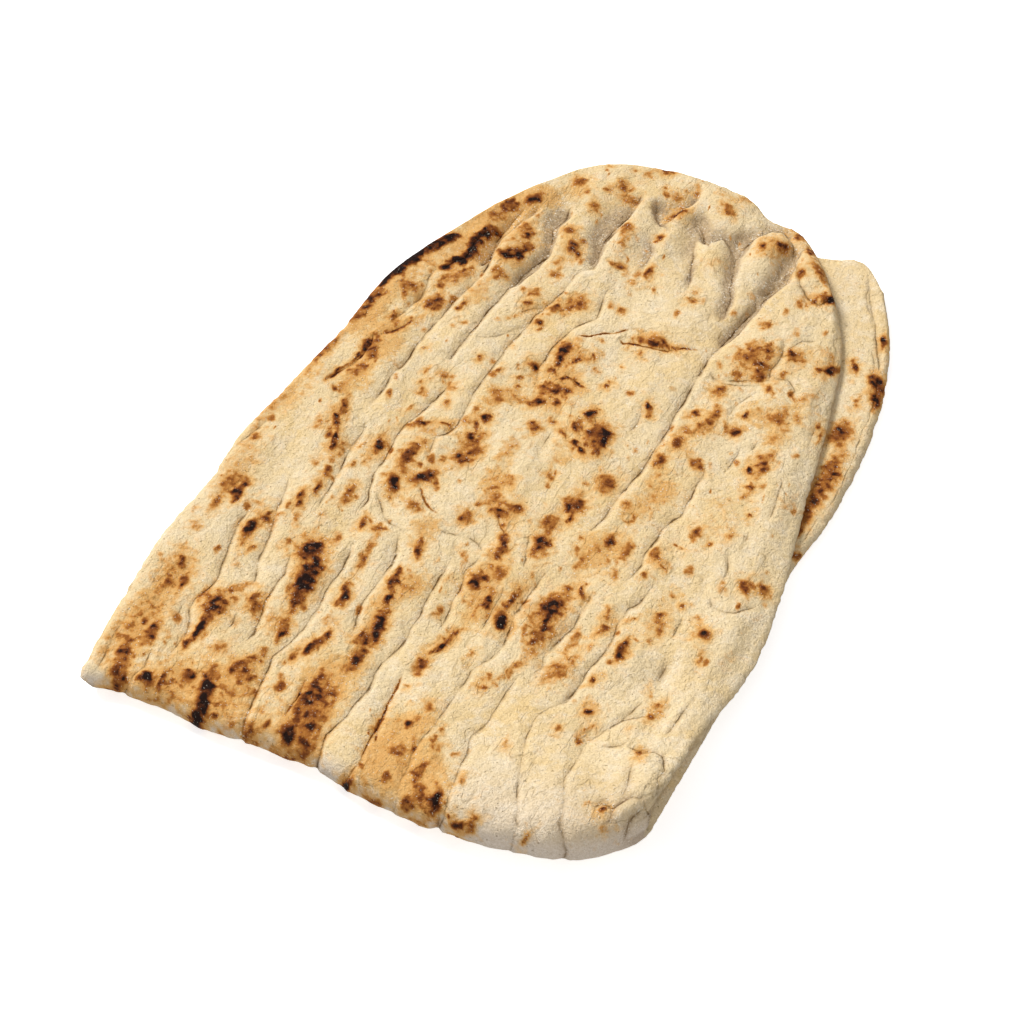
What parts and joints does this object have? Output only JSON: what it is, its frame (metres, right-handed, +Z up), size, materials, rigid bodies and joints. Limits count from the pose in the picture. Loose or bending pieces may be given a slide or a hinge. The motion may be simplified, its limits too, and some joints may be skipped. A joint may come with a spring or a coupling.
{
  "type": "folded lavash flatbread",
  "caption": "Long flatbread folded once across its middle, with pressed furrows, finger dimples, puffed blisters and two arched free ends lying on each other.",
  "frame": {"origin": "centre of the bread's bounding box, on the surface that it rests on", "axes": "+Y from the fold towards the two arched free ends, +X to the right across the bread seen with the fold nearest, +Z up"},
  "size_m": [0.2524, 0.402, 0.0238],
  "materials": {
    "crust": "dry floury baked crust, cream with toasted and charred spots"
  },
  "bodies": {
    "root": {"lavash": "crust"}
  },
  "joints": []
}
